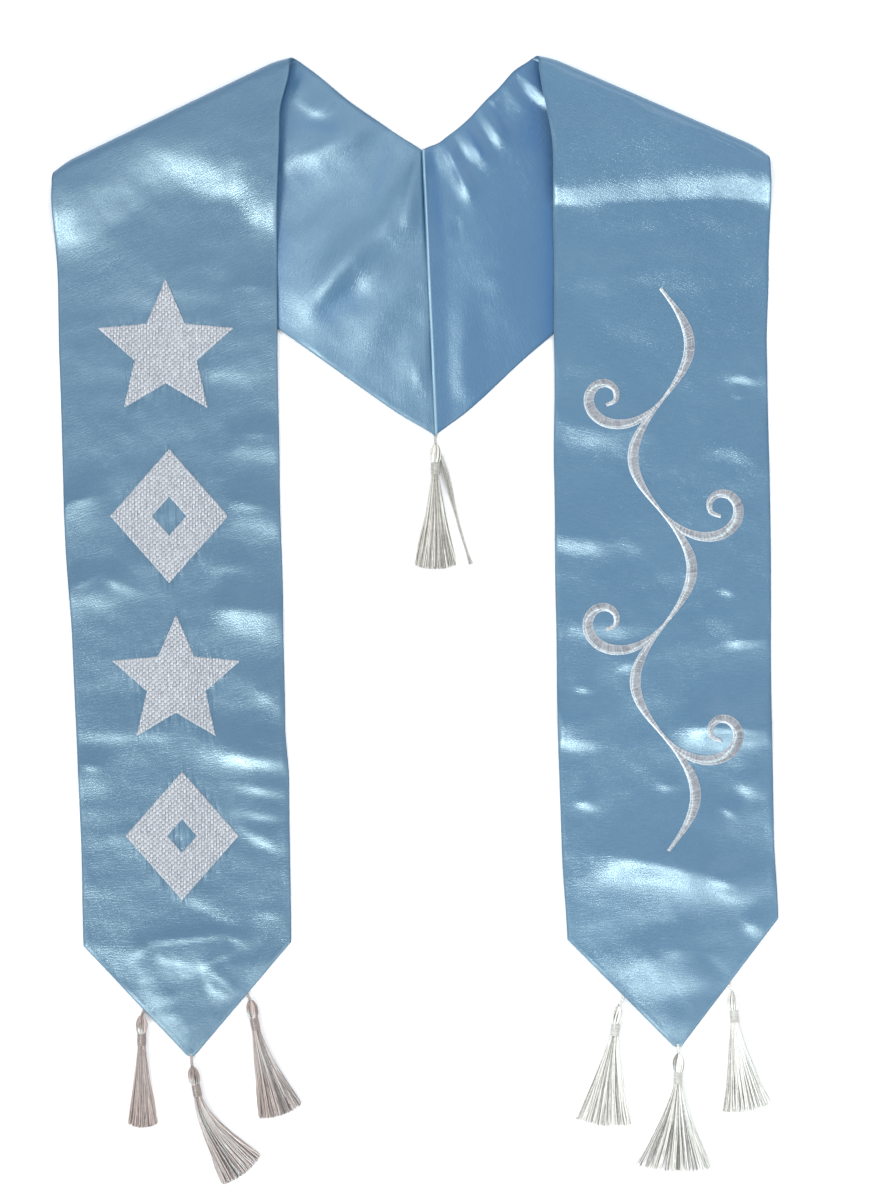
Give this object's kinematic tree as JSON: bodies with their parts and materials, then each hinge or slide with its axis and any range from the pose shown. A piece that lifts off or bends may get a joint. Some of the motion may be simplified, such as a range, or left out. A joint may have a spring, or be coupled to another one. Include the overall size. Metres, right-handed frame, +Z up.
{
  "type": "graduation stole",
  "caption": "Child's satin graduation stole laid flat: two pointed front panels folded over from a V back, with raised white embroidery and small tassels.",
  "frame": {"origin": "middle of the whole laid-out stole in plan, on the surface that it lies on", "axes": "+X to the right as the picture shows it, +Y from the points up to the neck, +Z up from the surface"},
  "size_m": [0.3518, 0.5468, 0.009],
  "materials": {
    "satin": "light blue satin, glossy along its folds",
    "embroidery": "white rayon thread in close parallel stitches",
    "tassel": "white silky rayon thread"
  },
  "bodies": {
    "root": {"band_left": "satin", "band_right": "satin", "motif_star_upper": "embroidery", "motif_diamond_upper": "embroidery", "motif_star_lower": "embroidery", "motif_diamond_lower": "embroidery", "scroll": "embroidery", "tassel_left_outer": "tassel", "loop_left_outer": "tassel", "tassel_left_point": "tassel", "loop_left_point": "tassel", "tassel_left_inner": "tassel", "loop_left_inner": "tassel", "tassel_right_inner": "tassel", "loop_right_inner": "tassel", "tassel_right_point": "tassel", "loop_right_point": "tassel", "tassel_right_outer": "tassel", "loop_right_outer": "tassel", "tassel_back": "tassel", "loop_back": "tassel"}
  },
  "joints": []
}
